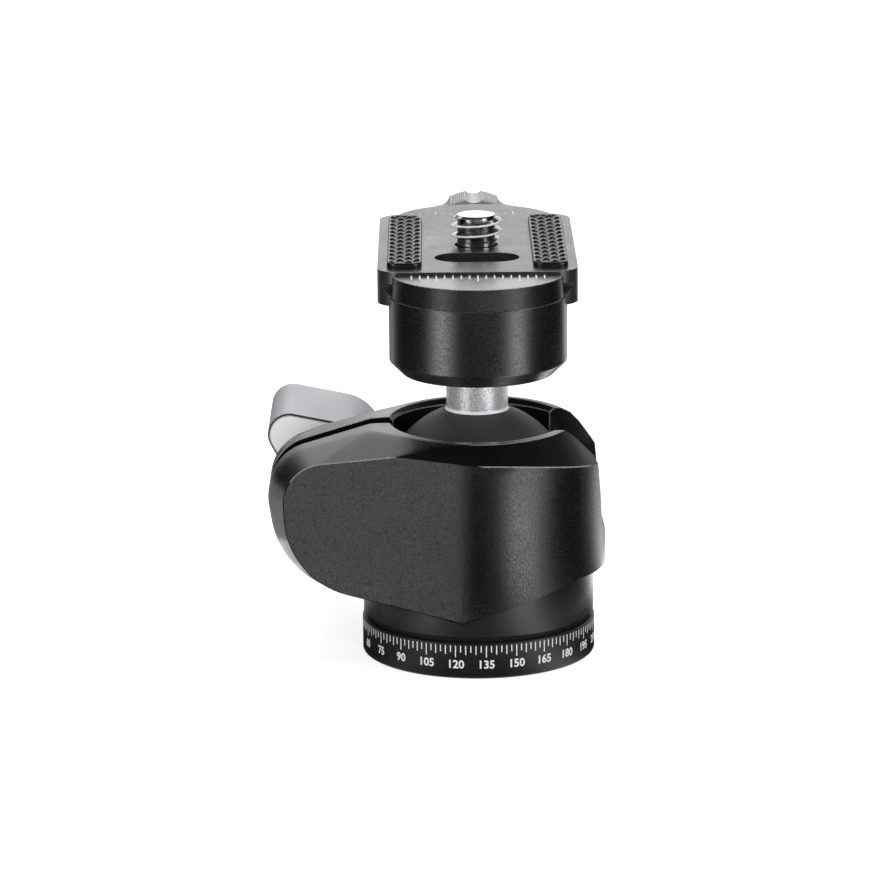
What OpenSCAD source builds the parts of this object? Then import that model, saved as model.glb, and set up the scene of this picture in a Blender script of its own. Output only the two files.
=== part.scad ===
// Tripod ball head with a single lock lever and a 38 mm quick-release clamp.
// Origin: centre of the base's underside. +Z up, the flat face of the housing looks along -Y.

/* [Base] */
// Diameter of the base ring
base_d = 30; // [29.8:0.1:31]
// Height of the base ring with the degree scale
base_h = 4.7; // [4.5:0.1:4.8]
// Bore radius of the reducer bushing (1/4 inch 20 thread)
small_thread_r = 2.6; // [2.5:0.05:2.7]
// Bore radius of the tripod socket (3/8 inch 16 thread)
large_thread_r = 4.2; // [4:0.05:4.4]

/* [Ball] */
// Radius of the ball
ball_r = 12.5; // [12.3:0.05:12.55]
// Height of the ball's centre
ball_z = 19.9; // [19.8:0.05:20.1]
// Diameter of the stem
stem_d = 7.9; // [7:0.1:8]

/* [Housing] */
// Radius of the round wall on the notch side
wall_r = 15.1; // [15.05:0.05:15.3]
// How far the round wall is moved towards the notch
wall_x = 1.3; // [1.2:0.05:1.5]
// Radius of the neck above the base
neck_r = 14.9; // [14.6:0.05:14.9]
// Radius of the opening over the ball
opening_r = 10.9; // [10.7:0.05:11.1]
// Height of the rim round the opening
rim_z = 30.2; // [30:0.1:30.4]
// Angle by which the rim rises towards the lever
rim_tilt = 1.6; // [1:0.1:2]
// Angle by which the two flat faces taper towards the clamp end
flat_slant = 7.5; // [6.5:0.25:8]
// Width of the clamping slit
slit_w = 3; // [2.6:0.1:3.2]
// Half the width of the notch between its lips
notch_half = 5.5; // [5:0.1:5.8]
// Radius of the notch's round bottom
notch_r = 4.2; // [4.15:0.05:4.4]

/* [Lock lever] */
// Radius of the lever's hub
hub_r = 6.1; // [5.6:0.1:6.2]
// Radius of the lever's tip
tip_r = 2.9; // [2.3:0.05:3.1]
// Length of the lever along its axis
lever_l = 18; // [14:0.5:20]

/* [Clamp] */
// Radius of the clamp's round ends
end_r = 11; // [10.9:0.05:11.2]
// Distance from the stem to the centre of each round end
end_y = 17.3; // [17:0.1:17.6]
// Height of the clamp's underside
clamp_z = 40.6; // [40.2:0.1:40.9]
// Height of the jaw tops
jaw_z = 53; // [52.8:0.05:53.1]
// Size of the chamfer round the underside
clamp_chamfer = 1.6; // [1.3:0.1:2]

/* [Camera plate] */
// Width of the dovetail
dovetail_w = 38; // [37.9:0.05:38.05]
// Length of the plate along the dovetail
plate_l = 24.8; // [22:0.2:30]
// Height of the plate's top
plate_z = 53.4; // [53.3:0.05:53.6]
// Diameter of the camera screw (1/4 inch)
screw_d = 6.35; // [6.2:0.05:6.4]
// How far the camera screw stands out of the plate
screw_h = 3.9; // [3.5:0.1:5]

/* [Hidden] */

$fn = 96;
eps = 0.01;
cut = 60;
base_r = base_d / 2;
stem_r = stem_d / 2;
running = 0.05;

// pan bearing
hub_top = 11.6;
pan_hub_r = 12.62;
pan_bore_r = 12.7;
washer_h = 0.7;
ring_z = 7.25;
ring_h = 0.8;
ring_in = 11.75;
ring_out = 13.1;
liner_in = ball_r + running;
liner_out = ball_r + 0.5;
liner_space = liner_out + running;
socket_top = 6.2;
socket_r = 5.6;
flange_r = 7.5;
flange_h = 1.2;

// housing outline, side view: [x, z, r] of the round corners of the flat faces and of the middle
neck_z = base_h + washer_h;
low_x = -2.2;
low_z = 7.24;
front_corner = [-19.4, 22.1, 5.5];
rear_corner = [-19.5, 21.1, 5.6];
flat_belly = [-14.6, 20.55, 10.2];
flat_apex = [-10.7, 28.73];
mid_corner = [-20.4, 21.5, 6.4];
mid_belly = [-14.95, 20.25, 11.6];
mid_half = 5;
shoulder = [-13.75, 30.15];
edge_r = 50;
edge_z = 27.72;
rim = [0, 0.8, 12.3];
// discs under the rim that round the crown towards the notch: [x, y, r], and their heights
crown = [[0, 1, 13.3], [0.3, 0.9, 14.1], [0.85, 0.3, 14.8]];
crown_z = [29.6, 28.4, 26.9];
flat_reach = wall_r - wall_x * sin(flat_slant);
notch_top = 25.6;

// lock
lock_x = -18.6;
lock_z = 20.3;
boss_y = 13.9;
lock_washer_h = 0.6;
lever_y = boss_y + lock_washer_h;
tip_dx = -6;
tip_dz = 4.5;
stud_r = 2.5;
stud_clear_r = 2.8;
insert_r = 3.2;
insert_y = -9.4;
insert_l = 7;

// stem and clamp
ball_flat_z = ball_z + sqrt(ball_r * ball_r - stem_r * stem_r) - 0.06;
spigot_r = 2.95;
spigot_z = 24;
stem_top = clamp_z + 2;
bolt_r = 2;
bolt_head_z = 45.4;
floor_z = 49;
plate_low = floor_z + 0.1;
half_w = dovetail_w / 2;
lip_in = half_w - 1.3;
flange_z = 50;
slab_z = 51.85;
play = 0.06;
part_y = 16;
pin_x = 7.2;
pin_z = 45;
pin_r = 1.25;
spring_y = 12;
spring_r = 1.75;
wire_r = 0.2;
band_h = 2.7;
band_step = 0.18;

// jaw knob
knob_z = 46.4;
knob_r = 7;
knob_y = 29.2;
knob_l = 7.1;
spot_y = 27.5;
jaw_screw_r = 2;
flutes = 10;

// camera plate
plate_corner = 3.2;
slot_y = -9.8;
slot_half = 5.3;
slot_r = 2.95;
pad_x = 9.05;
pad_w = 4.3;
pad_low = -16.9;
pad_high = 14.8;
pad_h = 0.75;
pad_sink = 0.3;
screw_y = -1.5;
screw_neck_r = 2.45;
screw_hole_r = 2.75;
head_r = 5.2;

module along_y(y0, y1, r, fn = $fn) {
    translate([0, y0, 0])
        rotate([-90, 0, 0])
            cylinder(r = r, h = y1 - y0, $fn = fn);
}

module ring(r_in, r_out, h) {
    difference() {
        cylinder(r = r_out, h = h);
        translate([0, 0, -1])
            cylinder(r = r_in, h = h + 2);
    }
}

module hex_socket(size, depth) {
    cylinder(d = size / cos(30), h = depth, $fn = 6);
}

// ---- base -------------------------------------------------------------------

module base_disc() {
    c = 0.2;
    color("#1d1d20")
        difference() {
            rotate_extrude()
                polygon([[0, 0], [base_r - c, 0], [base_r, c], [base_r, base_h - c],
                    [base_r - c, base_h], [pan_hub_r, base_h], [pan_hub_r, ring_z],
                    [ring_in, ring_z], [ring_in, ring_z + ring_h], [pan_hub_r, ring_z + ring_h],
                    [pan_hub_r, hub_top - c], [pan_hub_r - c, hub_top], [0, hub_top]]);
            translate([0, 0, ball_z])
                sphere(r = liner_space);
            translate([0, 0, -1])
                cylinder(r = flange_r, h = flange_h + 1);
            translate([0, 0, -1])
                cylinder(r = socket_r, h = socket_top + 1);
        }
}

module thread_socket() {
    color("silver")
        difference() {
            union() {
                translate([0, 0, 0.1])
                    cylinder(r = flange_r, h = flange_h - 0.1);
                translate([0, 0, flange_h - eps])
                    cylinder(r = socket_r, h = socket_top - flange_h + eps);
            }
            translate([0, 0, -1])
                cylinder(r = large_thread_r, h = socket_top + 2);
        }
}

module reducer_bushing() {
    slot_w = 1.4;
    color("#b9b6ad")
        difference() {
            ring(small_thread_r, large_thread_r, socket_top);
            translate([-cut / 2, -slot_w / 2, -1])
                cube([cut, slot_w, 2.1]);
        }
}

module pan_washer() {
    color("#0c0c0d")
        translate([0, 0, base_h])
            ring(pan_hub_r + 0.2, neck_r - 0.5, washer_h);
}

module snap_ring() {
    color("silver")
        translate([0, 0, ring_z])
            difference() {
                ring(ring_in, ring_out, ring_h);
                translate([0, 0, -1])
                    linear_extrude(height = ring_h + 2)
                        polygon([[0, 0], [20, -5], [20, 5]]);
            }
}

// ---- housing ------------------------------------------------------------------

// distance of the tapering flat faces from the middle plane
function flat_y(x) = (flat_reach + x * sin(flat_slant)) / cos(flat_slant);

// side view of the clamp end: a round corner, the lower half of the belly and a point at the top
module end_outline(corner, belly, top) {
    translate([corner[0], corner[1]])
        circle(r = corner[2], $fn = 64);
    intersection() {
        translate([belly[0], belly[1]])
            circle(r = belly[2], $fn = 80);
        translate([belly[0] - belly[2], belly[1] - belly[2]])
            square([2 * belly[2], belly[2]]);
    }
    translate([top[0], top[1] - 0.1])
        circle(r = 0.1, $fn = 16);
}

module flat_face(side, corner) {
    translate([0, side * flat_y(0), 0])
        rotate([0, 0, side * flat_slant])
            rotate([90, 0, 0])
                linear_extrude(height = 0.02, center = true) {
                    end_outline(corner, flat_belly, flat_apex);
                    translate([low_x, low_z + 0.1])
                        circle(r = 0.1, $fn = 16);
                }
}

module crown_disc(c, z) {
    rotate([rim_tilt, 0, 0])
        translate([c[0], c[1], z - 0.1])
            cylinder(r = c[2], h = 0.1, $fn = 96);
}

// outer skin: round wall at the notch, flat faces front and back, rounded clamp end
module housing_skin() {
    start_x = wall_x - wall_r * sin(flat_slant);
    hull() {
        intersection() {
            translate([wall_x, 0, low_z])
                cylinder(r = wall_r, h = rim_z - low_z, $fn = 120);
            translate([1, 0, edge_z - edge_r])
                rotate([90, 0, 0])
                    cylinder(r = edge_r, h = cut, center = true, $fn = 180);
            translate([start_x, -cut / 2, 0])
                cube([cut, cut, cut]);
        }
        crown_disc(rim, rim_z);
        for (i = [0:2])
            crown_disc(crown[i], crown_z[i]);
        flat_face(-1, front_corner);
        flat_face(1, rear_corner);
        rotate([90, 0, 0])
            linear_extrude(height = 2 * mid_half, center = true)
                end_outline(mid_corner, mid_belly, shoulder);
    }
}

// underside of the wall, rising from the flat face to the notch side
module skin_underside() {
    rotate([90, 0, 0])
        linear_extrude(height = cut, center = true)
            polygon([[low_x, -1], [low_x, low_z], [3.4, 8.98], [7.3, 10.15], [9.5, 10.85],
                [13, 11.6], [20, 11.65], [20, -1]]);
}

module ball_space() {
    translate([0, 0, ball_z])
        sphere(r = ball_r + running);
    intersection() {
        translate([0, 0, ball_z])
            sphere(r = liner_space);
        translate([-20, -20, 0])
            cube([40, 40, ball_z]);
    }
    translate([0, 0, ball_z])
        cylinder(r = opening_r, h = 20);
    translate([0, 0, rim_z - 0.4])
        cylinder(r1 = opening_r, r2 = opening_r + 0.8, h = 0.8);
    translate([0, 0, -1])
        cylinder(r = pan_bore_r, h = ball_z - 2);
    translate([0, 0, ring_z - 0.1])
        cylinder(r = ring_out + 0.15, h = ring_h + 0.2);
}

// notch with a round bottom on the ball's axis, widening to its upright lips
module drop_notch() {
    low = notch_r - eps;
    translate([6, 0, ball_z])
        rotate([0, 90, 0])
            cylinder(r = notch_r, h = 20);
    translate([6, 0, 0])
        rotate([90, 0, 90])
            linear_extrude(height = 20)
                polygon([[-low, ball_z], [low, ball_z], [notch_half, notch_top], [notch_half, cut],
                    [-notch_half, cut], [-notch_half, notch_top]]);
}

module housing() {
    color("#26262a")
        difference() {
            union() {
                difference() {
                    housing_skin();
                    skin_underside();
                }
                translate([0, 0, neck_z])
                    cylinder(r = neck_r, h = 10);
                translate([lock_x, 0, lock_z])
                    along_y(8, boss_y, hub_r - 0.3);
            }
            ball_space();
            drop_notch();
            translate([-cut, -slit_w / 2, 0])
                cube([cut - opening_r + 1, slit_w, cut]);
            translate([lock_x, 0, lock_z])
                along_y(-1, cut, stud_clear_r);
            translate([lock_x, 0, lock_z])
                along_y(insert_y, 1, insert_r);
        }
}

module ear_insert() {
    color("silver")
        translate([lock_x, 0, lock_z])
            difference() {
                along_y(insert_y, insert_y + insert_l, insert_r);
                along_y(insert_y - 1, 1, stud_r + running);
            }
}

module thrust_washer() {
    color("silver")
        translate([lock_x, 0, lock_z])
            difference() {
                along_y(boss_y, lever_y - 0.05, hub_r - 0.5);
                along_y(boss_y - 1, lever_y + 1, stud_clear_r);
            }
}

// ---- lock lever ------------------------------------------------------------------

// lever before drilling: hub and tip joined by flat tangent faces
module lever_blank() {
    tip = [tip_dx, tip_dz];
    lean = atan2(tip_dz, tip_dx);
    spread = acos((hub_r - tip_r) / norm(tip));
    side = [for (s = [-1, 1]) [cos(lean + s * spread), sin(lean + s * spread)]];
    along_y(0, lever_l, hub_r);
    translate([tip_dx, 0, tip_dz])
        along_y(0, lever_l, tip_r);
    rotate([90, 0, 0])
        translate([0, 0, -lever_l])
            linear_extrude(height = lever_l)
                polygon([(hub_r - eps) * side[0], (hub_r - eps) * side[1],
                    tip + (tip_r - eps) * side[1], tip + (tip_r - eps) * side[0]]);
}

module lock_lever() {
    color("#c9c9ce")
        translate([lock_x, lever_y, lock_z])
            difference() {
                lever_blank();
                along_y(-1, lever_l - 5, stud_r);
                along_y(0, lever_l + 1, 1.5);
                along_y(lever_l - 3, lever_l + 1, 3.4);
            }
}

module clamp_stud() {
    color("silver")
        translate([lock_x, 0, lock_z])
            difference() {
                along_y(insert_y + 0.3, lever_y + lever_l - 5, stud_r);
                along_y(lever_y + lever_l - 13, cut, 1.5);
            }
}

module lever_screw() {
    seat = lever_y + lever_l - 3;
    color("#3a3a3e")
        translate([lock_x, 0, lock_z])
            difference() {
                union() {
                    along_y(seat - 9.5, seat, 1.5);
                    along_y(seat, seat + 2.6, 3);
                }
                translate([0, seat + 1, 0])
                    rotate([-90, 0, 0])
                        hex_socket(2.5, 3);
            }
}

// ---- ball and stem ---------------------------------------------------------------

module ball_liner() {
    steep = 50;
    flat = 24;
    color("#e8e4d8")
        translate([0, 0, ball_z])
            rotate_extrude()
                intersection() {
                    difference() {
                        circle(r = liner_out);
                        circle(r = liner_in);
                    }
                    polygon([[0, 0], 20 * [cos(steep), -sin(steep)], 20 * [cos(flat), -sin(flat)]]);
                }
}

module ball() {
    color("#3b3b40")
        difference() {
            translate([0, 0, ball_z])
                sphere(r = ball_r);
            translate([-20, -20, ball_flat_z])
                cube([40, 40, 10]);
            translate([0, 0, spigot_z - 0.5])
                cylinder(r = spigot_r + running, h = 20);
        }
}

module stem() {
    color("#d5d5d9")
        difference() {
            union() {
                translate([0, 0, spigot_z])
                    cylinder(r = spigot_r, h = 10);
                translate([0, 0, ball_flat_z + 0.03])
                    cylinder(r = stem_r, h = stem_top - ball_flat_z - 0.03);
            }
            translate([0, 0, 29])
                cylinder(r = bolt_r, h = 20);
            translate([0, 2.95, stem_top - 1.5])
                cylinder(r = 0.5, h = 5);
        }
}

module clamp_bolt() {
    color("silver")
        difference() {
            union() {
                translate([0, 0, 29.4])
                    cylinder(r = bolt_r, h = bolt_head_z - 29.4);
                translate([0, 0, bolt_head_z])
                    cylinder(r = 3.5, h = 3.2);
            }
            translate([0, 0, bolt_head_z + 1.2])
                hex_socket(3, 4);
        }
}

module index_pin() {
    color("silver")
        translate([0, 2.95, stem_top - 1.5])
            cylinder(r = 0.5, h = 3);
}

// ---- clamp -------------------------------------------------------------------------

module obround(half, r) {
    for (s = [-1, 1])
        translate([0, s * half])
            circle(r = r);
    translate([-r, -half])
        square([2 * r, 2 * half]);
}

// block with round ends and straight sides whose radius goes from r1 to r2
module tapered_obround(half, r1, r2, h) {
    for (s = [-1, 1])
        translate([0, s * half, 0])
            cylinder(r1 = r1, r2 = r2, h = h);
    rotate([90, 0, 0])
        linear_extrude(height = 2 * half, center = true)
            polygon([[-r1, 0], [r1, 0], [r2, h], [-r2, h]]);
}

module clamp_block() {
    top = jaw_z - band_h;
    translate([0, 0, clamp_z])
        tapered_obround(end_y, end_r - clamp_chamfer, end_r, clamp_chamfer);
    translate([0, 0, clamp_z + clamp_chamfer])
        linear_extrude(height = top - clamp_z - clamp_chamfer)
            obround(end_y, end_r);
    translate([0, 0, top])
        tapered_obround(end_y, end_r - band_step, end_r - 2 * band_step, band_h);
}

// the dovetail channel, cut along X
module channel() {
    side = [[half_w + play, floor_z], [half_w + play, flange_z + 0.4 * play],
        [lip_in + play, slab_z - 0.55 + 0.4 * play], [lip_in + play, slab_z - play],
        [half_w + 0.15, slab_z - play], [half_w + 0.15, cut + 10]];
    rotate([90, 0, 90])
        linear_extrude(height = cut, center = true)
            polygon([for (p = side) p, for (i = [len(side) - 1:-1:0]) [-side[i][0], side[i][1]]]);
}

module clamp_body() {
    color("#1b1b1e")
        difference() {
            clamp_block();
            channel();
            translate([-cut / 2, part_y, 0])
                cube([cut, cut, 2 * cut]);
            cylinder(r = stem_r, h = stem_top);
            cylinder(r = bolt_r, h = cut);
            translate([0, 0, bolt_head_z])
                cylinder(r = 3.7, h = 20);
            translate([0, 2.95, stem_top - 1.5])
                cylinder(r = 0.5, h = 3);
            for (s = [-1, 1])
                translate([s * pin_x, 0, pin_z]) {
                    along_y(7, cut, pin_r);
                    along_y(spring_y, cut, 2.2);
                }
            translate([0, 0, knob_z])
                along_y(6, cut, jaw_screw_r + running);
        }
}

module guide_pins() {
    color("silver")
        for (s = [-1, 1])
            translate([s * pin_x, 0, pin_z])
                along_y(7, 22.5, pin_r);
}

// one coil spring along Y: a wire swept round a helix
module coil(length, turns) {
    sides = 6;
    steps = turns * 12;
    points = [for (i = [0:steps]) for (k = [0:sides - 1])
        let (a = 30 * i, t = 360 * k / sides, r = spring_r + wire_r * cos(t))
            [r * cos(a), wire_r + (length - 2 * wire_r) * i / steps + wire_r * sin(t), r * sin(a)]];
    walls = [for (i = [0:steps - 1]) for (k = [0:sides - 1])
        let (n = (k + 1) % sides)
            [i * sides + k, (i + 1) * sides + k, (i + 1) * sides + n, i * sides + n]];
    polyhedron(points, concat(walls, [[for (k = [0:sides - 1]) k]],
        [[for (k = [sides - 1:-1:0]) steps * sides + k]]));
}

module jaw_springs() {
    color("silver")
        for (s = [-1, 1])
            translate([s * pin_x, spring_y, pin_z])
                coil(part_y - spring_y, 5);
}

module moving_jaw() {
    color("#1b1b1e")
        difference() {
            clamp_block();
            channel();
            translate([-cut / 2, part_y + running - cut, 0])
                cube([cut, cut, 2 * cut]);
            for (s = [-1, 1])
                translate([s * pin_x, 0, pin_z])
                    along_y(10, 23, pin_r + running);
            translate([0, 0, knob_z]) {
                along_y(10, cut, jaw_screw_r + 0.1);
                along_y(10, part_y + 1.1, 2.7);
                along_y(spot_y, cut, 3.5);
            }
        }
}

module knob_washer() {
    color("silver")
        translate([0, 0, knob_z])
            difference() {
                along_y(spot_y, spot_y + 0.5, 3.3);
                along_y(spot_y - 1, spot_y + 2, jaw_screw_r + 0.1);
            }
}

// knob with smooth flutes and six grip grooves on each rib
module jaw_knob() {
    flute_r = 1.7;
    groove_r = 0.13;
    groove_step = 2.6;
    color("#b9b9be")
        translate([0, 0, knob_z])
            difference() {
                union() {
                    along_y(spot_y + 0.52, knob_y + 0.1, 3.3);
                    along_y(knob_y, knob_y + knob_l, knob_r);
                }
                along_y(0, knob_y + knob_l - 1.5, jaw_screw_r);
                for (i = [0:flutes - 1])
                    rotate([0, i * 360 / flutes, 0]) {
                        translate([0, 0, knob_r + flute_r - 0.5])
                            along_y(knob_y - 1, knob_y + knob_l + 1, flute_r, 48);
                        for (k = [-2.5:2.5])
                            rotate([0, 180 / flutes + groove_step * k, 0])
                                translate([0, 0, knob_r])
                                    along_y(knob_y - 1, knob_y + knob_l + 1, groove_r, 16);
                    }
            }
}

module jaw_screw() {
    color("silver")
        translate([0, 0, knob_z])
            difference() {
                along_y(6.4, knob_y + knob_l - 1.5, jaw_screw_r);
                difference() {
                    along_y(part_y + 0.2, part_y + 0.8, 3);
                    along_y(0, cut, 1.7);
                }
            }
}

module jaw_clip() {
    color("#3a3a3e")
        translate([0, 0, knob_z])
            difference() {
                along_y(part_y + 0.2, part_y + 0.8, 2.5);
                along_y(0, cut, 1.7);
                translate([-0.9, 0, -4])
                    cube([1.8, 20, 4]);
            }
}

// ---- camera plate ----------------------------------------------------------------

module rounded_rectangle(x, y, r) {
    for (sx = [-1, 1])
        for (sy = [-1, 1])
            translate([sx * (x - r), sy * (y - r)])
                circle(r = r);
    square([2 * x, 2 * (y - r)], center = true);
    square([2 * (x - r), 2 * y], center = true);
}

module plate_blank() {
    side = [[half_w, plate_low], [half_w, flange_z], [lip_in, slab_z - 0.55], [lip_in, slab_z],
        [half_w, slab_z], [half_w, plate_z]];
    intersection() {
        rotate([90, 0, 90])
            linear_extrude(height = plate_l, center = true)
                polygon([for (p = side) p, for (i = [len(side) - 1:-1:0]) [-side[i][0], side[i][1]]]);
        linear_extrude(height = cut + 10)
            rounded_rectangle(plate_l / 2, half_w, plate_corner);
    }
}

module pad_outline() {
    translate([0, (pad_low + pad_high) / 2])
        rounded_rectangle(pad_w / 2, (pad_high - pad_low) / 2, 1.4);
}

module camera_plate() {
    color("#303034")
        difference() {
            plate_blank();
            linear_extrude(height = cut + 10)
                translate([0, slot_y])
                    rotate([0, 0, 90])
                        obround(slot_half - slot_r, slot_r);
            for (s = [-1, 1])
                translate([s * pad_x, 0, plate_z - pad_sink])
                    linear_extrude(height = 5)
                        pad_outline();
            translate([0, screw_y, 0])
                cylinder(r = screw_hole_r, h = cut + 10);
            translate([0, screw_y, 0])
                cylinder(r = 5.6, h = plate_low + 2);
        }
}

module pad(side) {
    translate([side * pad_x, 0, plate_z - pad_sink])
        linear_extrude(height = pad_h + pad_sink)
            pad_outline();
}

module pad_left() {
    color("#101011")
        pad(-1);
}

module pad_right() {
    color("#101011")
        pad(1);
}

module screw_retainer() {
    color("#e8e4d8")
        translate([0, screw_y, plate_low + 1.75])
            ring(screw_hole_r, 4.8, 0.25);
}

module camera_screw() {
    low = plate_low + 0.15;
    shoulder = plate_z + 0.5;
    color("#dcdce0")
        translate([0, screw_y, 0])
            difference() {
                rotate_extrude()
                    polygon([[0, low], [head_r, low], [head_r, low + 1.5], [screw_neck_r, low + 1.5],
                        [screw_neck_r, shoulder], [screw_d / 2, shoulder + 0.5],
                        [screw_d / 2, plate_z + screw_h - 0.6],
                        [screw_d / 2 - 0.8, plate_z + screw_h], [0, plate_z + screw_h]]);
                translate([-cut / 2, -0.6, 0])
                    cube([cut, 1.2, low + 0.8]);
            }
}

base_disc();
thread_socket();
reducer_bushing();
pan_washer();
snap_ring();
housing();
ear_insert();
thrust_washer();
lock_lever();
clamp_stud();
lever_screw();
ball_liner();
ball();
stem();
clamp_bolt();
index_pin();
clamp_body();
guide_pins();
jaw_springs();
moving_jaw();
knob_washer();
jaw_knob();
jaw_screw();
jaw_clip();
camera_plate();
pad_left();
pad_right();
screw_retainer();
camera_screw();
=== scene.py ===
"""Tripod ball head with a quick-release clamp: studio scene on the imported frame.

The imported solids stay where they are. Visible machined pieces are refined copies of them (merged, with
small chamfers and smooth shading) or surfaces computed here with numpy, and every piece gets its finish
from shader nodes. Lengths inside the classes are millimetres; meshes are written in metres.
"""

import logging
import math
from collections.abc import Iterator
from contextlib import contextmanager
from dataclasses import dataclass
from enum import Enum
from functools import cache

import bmesh
import bpy
import numpy as np
from mathutils import Matrix, Vector

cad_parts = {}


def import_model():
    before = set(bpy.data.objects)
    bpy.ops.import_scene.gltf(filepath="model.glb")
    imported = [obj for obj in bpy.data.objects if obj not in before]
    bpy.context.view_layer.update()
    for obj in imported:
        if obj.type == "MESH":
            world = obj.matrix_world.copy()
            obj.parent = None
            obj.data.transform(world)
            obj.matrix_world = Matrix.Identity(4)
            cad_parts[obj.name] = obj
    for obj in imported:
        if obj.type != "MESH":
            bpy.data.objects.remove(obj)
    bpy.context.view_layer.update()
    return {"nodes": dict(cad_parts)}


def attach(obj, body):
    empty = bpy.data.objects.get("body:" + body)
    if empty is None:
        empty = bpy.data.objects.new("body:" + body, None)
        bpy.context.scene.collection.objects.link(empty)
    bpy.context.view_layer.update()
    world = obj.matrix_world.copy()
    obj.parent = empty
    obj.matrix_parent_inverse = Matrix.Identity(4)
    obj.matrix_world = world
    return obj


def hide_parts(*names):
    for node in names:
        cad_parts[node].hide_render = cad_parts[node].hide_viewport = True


Material, Mesh, Object = bpy.types.Material, bpy.types.Mesh, bpy.types.Object
Node, Socket, Tree = bpy.types.Node, bpy.types.NodeSocket, bpy.types.NodeTree
Triple = tuple[float, float, float]
Faces = list[tuple[int, ...]] | np.ndarray

LOG = logging.getLogger("ball_head")
MM = 0.001
SHARP = 28.0  # degrees: sharper edges than this are broken, and the shading keeps them sharp
LEVEL = 0.6  # degrees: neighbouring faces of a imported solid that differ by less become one
SUNK = 0.05  # millimetres that an engraved mark starts under its surface
PROUD = 0.012  # millimetres that it stands out
NOISE_SPAN = (0.3, 0.7)  # where most of a noise lies
PATCHES = 0.1  # share by which broad patches change the roughness


# ---------------------------------------------------------------------------------------------------
# mesh helpers
# ---------------------------------------------------------------------------------------------------


def link(name: str, data: bpy.types.ID) -> Object:
    """Makes an object at the origin and links it to the scene.

    Args:
        name: Name of the object.
        data: Its mesh, curve, lamp or camera.

    Returns:
        The new object.
    """
    obj = bpy.data.objects.new(name, data)
    bpy.context.scene.collection.objects.link(obj)
    return obj


def read(items: bpy.types.bpy_prop_collection, key: str) -> np.ndarray:
    """Reads one property of all the elements of a mesh.

    Args:
        items: The elements, such as the mesh's polygons.
        key: Name of the property.

    Returns:
        A number for each element, or a row of numbers where the property is a vector.
    """
    first = np.asarray(getattr(items[0], key))
    values = np.zeros(len(items) * first.size, int if first.dtype.kind == "i" else float)
    items.foreach_get(key, values)
    return values.reshape(-1, *first.shape)


def take(mesh: Mesh, name: str) -> np.ndarray:
    """Reads an attribute of the faces and removes it from the mesh.

    Args:
        mesh: The mesh.
        name: Name of the attribute.

    Returns:
        Its value at each face.
    """
    values = read(mesh.attributes[name].data, "value")
    mesh.attributes.remove(mesh.attributes[name])
    return values


def write_mesh(name: str, points: np.ndarray, faces: Faces, smooth: float = 30.0) -> Object:
    """Makes a mesh object from millimetre points, shaded smooth below an angle.

    Args:
        name: Name of the piece.
        points: N by 3 array, in millimetres.
        faces: Vertex numbers of each face, anticlockwise from outside.
        smooth: Edges sharper than this angle in degrees stay sharp.

    Returns:
        The new object, linked to the scene.
    """
    mesh = bpy.data.meshes.new(name)
    mesh.from_pydata((np.asarray(points, float) * MM).tolist(), [], [tuple(int(i) for i in f) for f in faces])
    mesh.validate()
    mesh.shade_smooth()
    mesh.set_sharp_from_angle(angle=math.radians(smooth))
    return link(name, mesh)


def write_boxes(name: str, corners: np.ndarray) -> Object:
    """Makes one object of separate closed boxes.

    Args:
        name: Name of the piece.
        corners: Array of box, corner, coordinate: four corners round the foot, anticlockwise as seen from
            above, then the four over them.

    Returns:
        The new object.
    """
    box = np.array([[3, 2, 1, 0], [4, 5, 6, 7], [0, 1, 5, 4], [1, 2, 6, 5], [2, 3, 7, 6], [3, 0, 4, 7]])
    faces = box[None] + 8 * np.arange(len(corners))[:, None, None]
    return write_mesh(name, corners.reshape(-1, 3), faces.reshape(-1, 4))


def loop_faces(loops: int, count: int, wrap: bool = False) -> np.ndarray:
    """Quads of a stack of closed loops of points, numbered loop by loop.

    Args:
        loops: Number of loops.
        count: Number of points in a loop.
        wrap: Whether the last loop joins the first.

    Returns:
        M by 4 array of vertex numbers.
    """
    i, j = np.meshgrid(np.arange(loops if wrap else loops - 1), np.arange(count), indexing="ij")
    i, j = i.ravel(), j.ravel()
    i2, j2 = (i + 1) % loops, (j + 1) % count
    return np.stack([i * count + j, i * count + j2, i2 * count + j2, i2 * count + j], 1)


def tube_mesh(name: str, rings: np.ndarray, smooth: float) -> Object:
    """Closed mesh from a stack of rings, each a closed loop of points, capped at both ends.

    Args:
        name: Name of the piece.
        rings: Array of ring, point, coordinate. Rings climb along the axis, points run anticlockwise
            as seen from the high end.
        smooth: Sharp angle in degrees.

    Returns:
        The new object.
    """
    rows, cols = rings.shape[:2]
    caps = [tuple(range(cols))[::-1], tuple(range((rows - 1) * cols, rows * cols))]
    return write_mesh(name, rings.reshape(-1, 3), [*loop_faces(rows, cols), *caps], smooth)


def revolve(name: str, profile: list[tuple[float, float]], steps: int) -> Object:
    """Closed surface of revolution round the Z axis.

    A point of the profile (r, z) at the angle t goes to (r cos t, r sin t, z).

    Args:
        name: Name of the piece.
        profile: Closed loop of radius and height pairs, anticlockwise with r to the right and z up.
        steps: Points round the axis.

    Returns:
        The new object.
    """
    r, z = np.asarray(profile, float).T[..., None]
    t = np.linspace(0, 2 * np.pi, steps, endpoint=False)
    points = np.stack([r * np.cos(t), r * np.sin(t), np.repeat(z, steps, 1)], 2)
    return write_mesh(name, points.reshape(-1, 3), loop_faces(len(profile), steps, True))


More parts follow.
